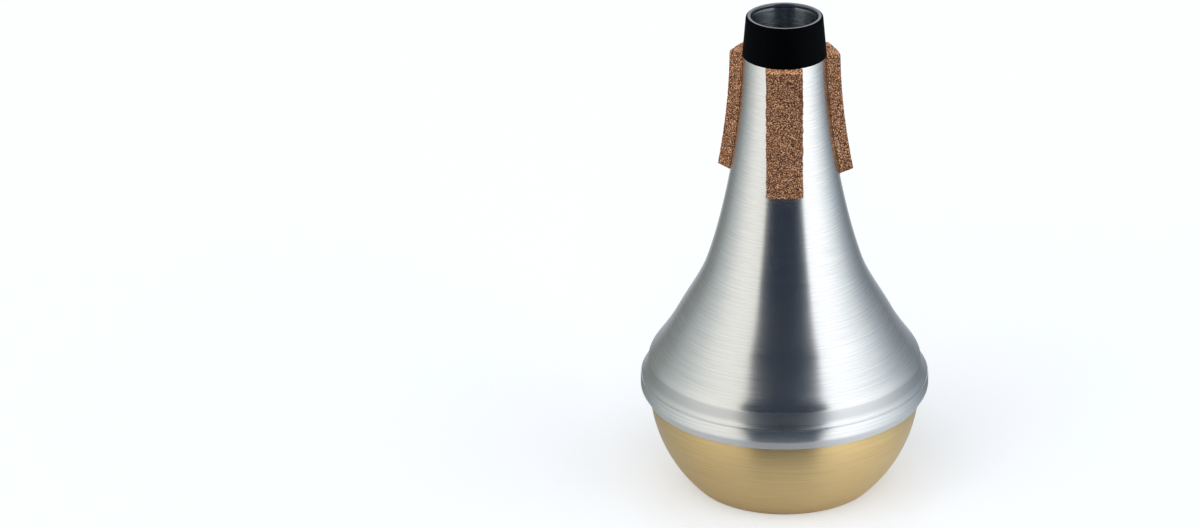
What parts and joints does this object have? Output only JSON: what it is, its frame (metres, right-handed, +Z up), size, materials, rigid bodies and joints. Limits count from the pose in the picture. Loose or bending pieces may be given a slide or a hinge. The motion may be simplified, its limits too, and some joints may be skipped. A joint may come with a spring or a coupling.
{
  "type": "trumpet straight mute",
  "caption": "Straight mute for a trumpet: flared spun aluminium cone with a double bead, rounded brass bottom, black end collar and cork pads at the neck.",
  "frame": {"origin": "centre of the flat brass base, on the surface that the mute stands on", "axes": "+Z up the mute's axis from the base to the neck; -Y is the side of the front cork pad"},
  "size_m": [0.0876, 0.0876, 0.15],
  "materials": {
    "aluminium": "spun and lathe-brushed, fine rings round the axis, satin",
    "brass": "spun and lathe-brushed, lacquered, satin",
    "collar": "moulded black, slightly satin",
    "cork": "agglomerated cork, sanded, fine reddish-brown grain",
    "sealant": "cured sealing compound, dull",
    "glue": "dried contact cement, thin film"
  },
  "bodies": {
    "root": {"bottom_cup": "brass", "seam_sealant": "sealant", "cone_body": "aluminium", "end_collar": "collar", "cork_front": "cork", "cork_right": "cork", "cork_left": "cork", "glue_front": "glue", "glue_right": "glue", "glue_left": "glue"}
  },
  "joints": []
}
